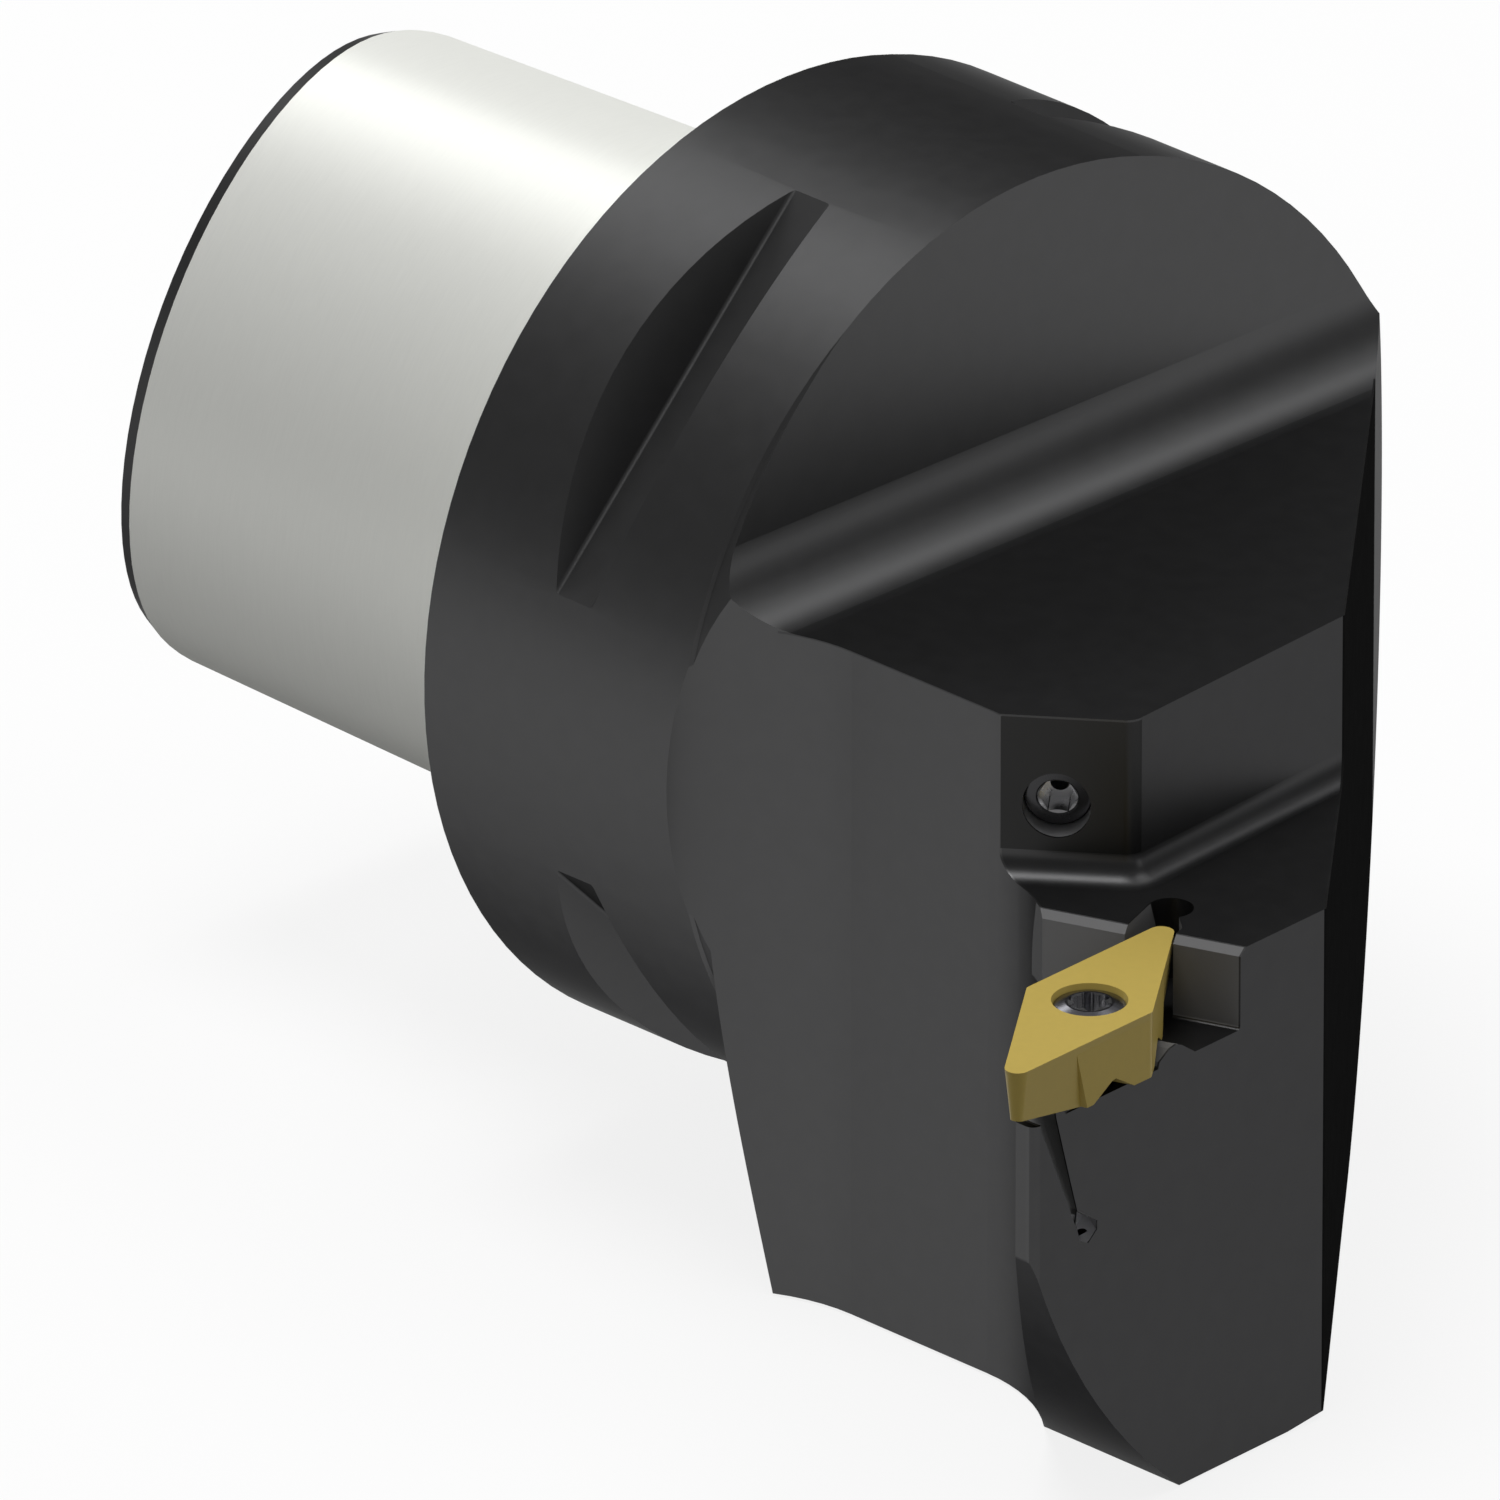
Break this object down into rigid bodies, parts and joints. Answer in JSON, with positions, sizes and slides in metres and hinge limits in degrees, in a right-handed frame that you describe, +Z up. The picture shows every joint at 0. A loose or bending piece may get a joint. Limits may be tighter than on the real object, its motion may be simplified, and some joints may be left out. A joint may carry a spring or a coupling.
{
  "type": "turning tool holder",
  "caption": "Turning tool holder with a polygonal taper shank, a clamped rhombic insert at the side-pointing tip and coolant outlets above and below the cutting edge.",
  "frame": {"origin": "centre of the flange's contact face, on the axis of the shank", "axes": "+X from the shank to the cutting head, +Z up and square to the insert's top face, the cutting tip towards -Y; the insert's top face is at z = 0"},
  "size_m": [0.103, 0.077, 0.0655],
  "materials": {
    "body_steel": "black oxidised steel, satin; the taper is ground bright",
    "insert_carbide": "satin gold-coloured coating",
    "screw_steel": "dark satin steel"
  },
  "bodies": {
    "holder": {"holder_body": "body_steel", "insert": "insert_carbide", "coolant_plug": "screw_steel"},
    "screw": {"insert_screw": "screw_steel"},
    "nozzle": {"coolant_nozzle": "screw_steel"}
  },
  "joints": [
    {"name": "insert_screw_turn", "type": "hinge", "parent": "holder", "child": "screw", "pos_m": [0.06047, -0.03423, -0.001], "axis": [0, 0, 1], "range_deg": [0, 360]},
    {"name": "coolant_nozzle_turn", "type": "hinge", "parent": "holder", "child": "nozzle", "pos_m": [0.04706, -0.02358, 0.00505], "axis": [0.6281, -0.7558, -0.1851], "range_deg": [0, 360]}
  ]
}
